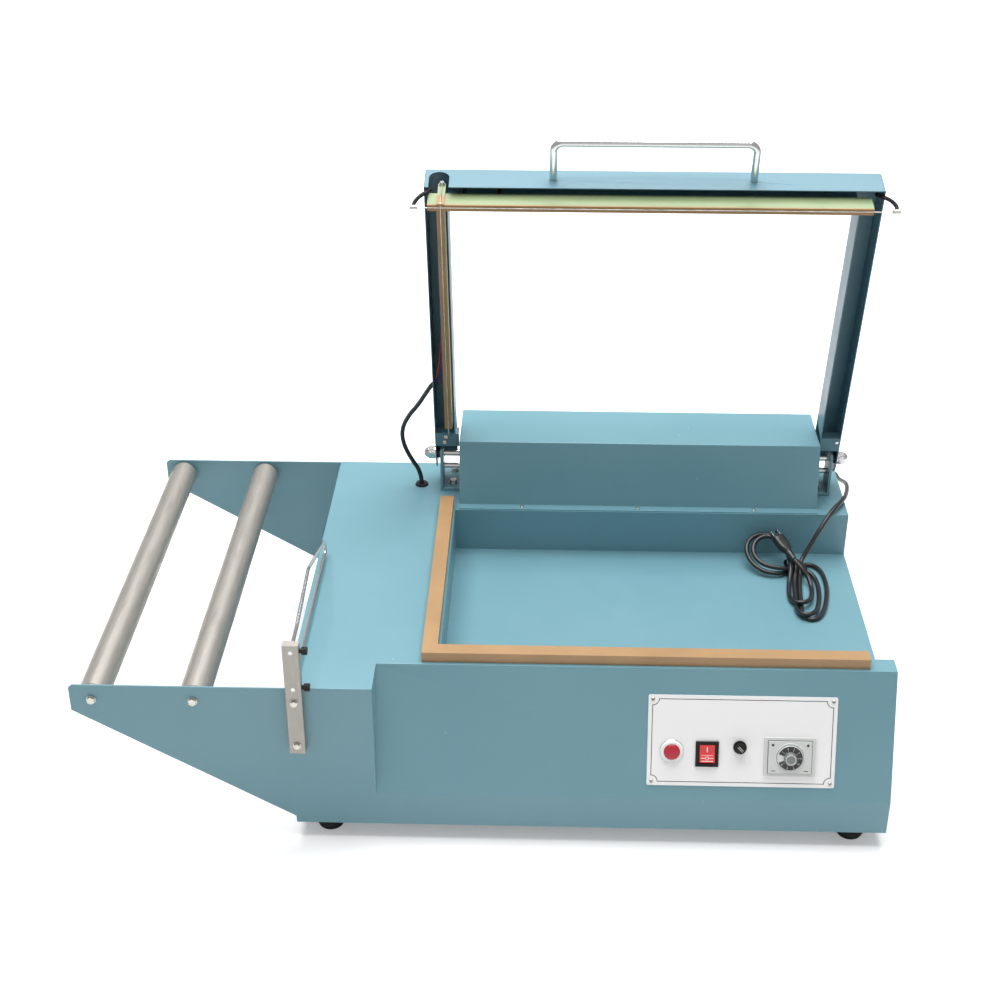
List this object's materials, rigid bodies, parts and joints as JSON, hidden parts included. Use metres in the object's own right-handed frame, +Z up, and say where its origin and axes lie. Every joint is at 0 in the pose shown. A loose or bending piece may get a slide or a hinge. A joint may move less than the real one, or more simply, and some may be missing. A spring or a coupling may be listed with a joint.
{
  "type": "l bar sealer",
  "caption": "Bench film sealer with an L shaped sealing anvil round a product tray, a sprung lid frame with two hot wire bars, film rollers and a film guide.",
  "frame": {"origin": "on the floor under the middle of the machine's overall box without its mains cord", "axes": "+X to the right as seen from the operator, +Y to the back, +Z up; the rollers are at -X"},
  "size_m": [1.0451, 0.6804, 0.801],
  "materials": {
    "casing_paint": "satin light blue powder coat",
    "lid_paint": "satin light blue powder coat",
    "zinc_steel": "galvanised, slightly dull",
    "bright_steel": "bright plated",
    "dark_steel": "blackened",
    "yellow_zinc": "yellow passivated zinc plate",
    "rubber_black": "matt",
    "plastic_black": "fine grain",
    "plate_white": "semi gloss white",
    "button_red": "glossy deep red",
    "bezel_white": "white ring in a bright rim",
    "rocker_red": "glossy red",
    "timer_grey": "fine grain",
    "dial_black": "fine grain",
    "silicone": "matt",
    "ptfe_tape": "brown coated glass cloth",
    "laminate_green": "glass fibre laminate",
    "wire_silver": "bright nickel chrome",
    "cord_black": "satin PVC",
    "lead_blue": "PVC",
    "fuse_glass": "clear",
    "core_steel": "varnished laminations"
  },
  "bodies": {
    "base": {"deck_panel": "casing_paint", "front_panel": "casing_paint", "casing_shell": "casing_paint", "bottom_plate": "casing_paint", "rubber_feet": "rubber_black", "anvil_bars": "zinc_steel", "silicone_strips": "silicone", "anvil_tapes": "ptfe_tape", "control_plate": "plate_white", "casing_screws": "bright_steel", "clean_button_bezel": "bezel_white", "power_switch_frame": "plastic_black", "fuse_holder": "plastic_black", "timer_body": "timer_grey", "roller_bracket_front": "casing_paint", "roller_bracket_rear": "casing_paint", "roller_axles": "bright_steel", "film_guide_block": "zinc_steel", "hinge_brackets": "casing_paint", "hinge_bolts": "bright_steel", "shaft_bushes": "yellow_zinc", "spring_anchor_rod": "bright_steel", "torsion_springs": "dark_steel", "spring_cover": "casing_paint", "limit_switch": "plastic_black", "deck_grommet": "rubber_black", "arm_cable": "cord_black", "cord_gland": "plastic_black", "power_cord": "cord_black", "cord_hank": "cord_black", "cord_plug": "cord_black", "transformer": "core_steel", "terminal_block": "timer_grey"},
    "lid": {"front_beam": "lid_paint", "arm_left": "lid_paint", "arm_right": "lid_paint", "seal_bar_front": "laminate_green", "seal_bar_left": "laminate_green", "seal_tapes": "ptfe_tape", "seal_wires": "wire_silver", "wire_terminals": "bright_steel", "tension_arms": "rubber_black", "lid_handle": "casing_paint", "lid_screws": "bright_steel", "arm_leads": "lead_blue", "hinge_shaft": "bright_steel", "shaft_collars": "dark_steel", "acorn_nuts": "bright_steel"},
    "roller_outer": {"roller_outer_tube": "zinc_steel", "roller_outer_caps": "plastic_black"},
    "roller_inner": {"roller_inner_tube": "zinc_steel", "roller_inner_caps": "plastic_black"},
    "clean_button_body": {"clean_button": "button_red"},
    "power_rocker_body": {"power_rocker": "rocker_red"},
    "fuse_carrier": {"fuse_link": "fuse_glass"},
    "fuse_cap_body": {"fuse_cap": "plastic_black"},
    "timer_dial_body": {"timer_dial": "dial_black"},
    "guide_rod": {"film_guide_rod": "bright_steel"},
    "thumb_screw_upper_body": {"thumb_screw_upper": "dark_steel"},
    "thumb_screw_lower_body": {"thumb_screw_lower": "dark_steel"}
  },
  "joints": [
    {"name": "lid_hinge", "type": "hinge", "parent": "base", "child": "lid", "pos_m": [0.20205, 0.2191, 0.2894], "axis": [1, 0, 0], "range_deg": [0, 76.2], "stiffness_Nm_per_rad": 9, "springref_deg": -51.57, "deforming": ["torsion_springs", "arm_cable"]},
    {"name": "roller_outer_spin", "type": "hinge", "parent": "base", "child": "roller_outer", "pos_m": [-0.48845, -0.0083, 0.214], "axis": [0, 1, 0], "continuous": true},
    {"name": "roller_inner_spin", "type": "hinge", "parent": "base", "child": "roller_inner", "pos_m": [-0.36245, -0.0083, 0.214], "axis": [0, 1, 0], "continuous": true},
    {"name": "clean_button_press", "type": "slide", "parent": "base", "child": "clean_button_body", "axis": [0, 0.9469, -0.3215], "range_m": [0, 0.004], "stiffness_N_per_m": 400},
    {"name": "power_rocker_tilt", "type": "hinge", "parent": "base", "child": "power_rocker_body", "pos_m": [0.27675, -0.27995, 0.1305], "axis": [1, 0, 0], "range_deg": [0, 16]},
    {"name": "fuse_pull_out", "type": "slide", "parent": "base", "child": "fuse_carrier", "axis": [0, -0.9469, 0.3215], "range_m": [0, 0.045]},
    {"name": "fuse_cap_turn", "type": "hinge", "parent": "fuse_carrier", "child": "fuse_cap_body", "pos_m": [0.31765, -0.28441, 0.14225], "axis": [0, -0.9469, 0.3215], "range_deg": [0, 90]},
    {"name": "timer_dial_turn", "type": "hinge", "parent": "base", "child": "timer_dial_body", "pos_m": [0.38025, -0.29088, 0.13252], "axis": [0, -0.9469, 0.3215], "range_deg": [-60, 240]},
    {"name": "guide_rod_slide", "type": "slide", "parent": "base", "child": "guide_rod", "axis": [0, 1, 0], "range_m": [-0.03, 0.006]},
    {"name": "thumb_screw_upper_turn", "type": "hinge", "parent": "base", "child": "thumb_screw_upper_body", "pos_m": [-0.22495, -0.3083, 0.296], "axis": [1, 0, 0], "range_deg": [0, 360]},
    {"name": "thumb_screw_lower_turn", "type": "hinge", "parent": "base", "child": "thumb_screw_lower_body", "pos_m": [-0.22495, -0.3083, 0.242], "axis": [1, 0, 0], "range_deg": [0, 360]}
  ]
}
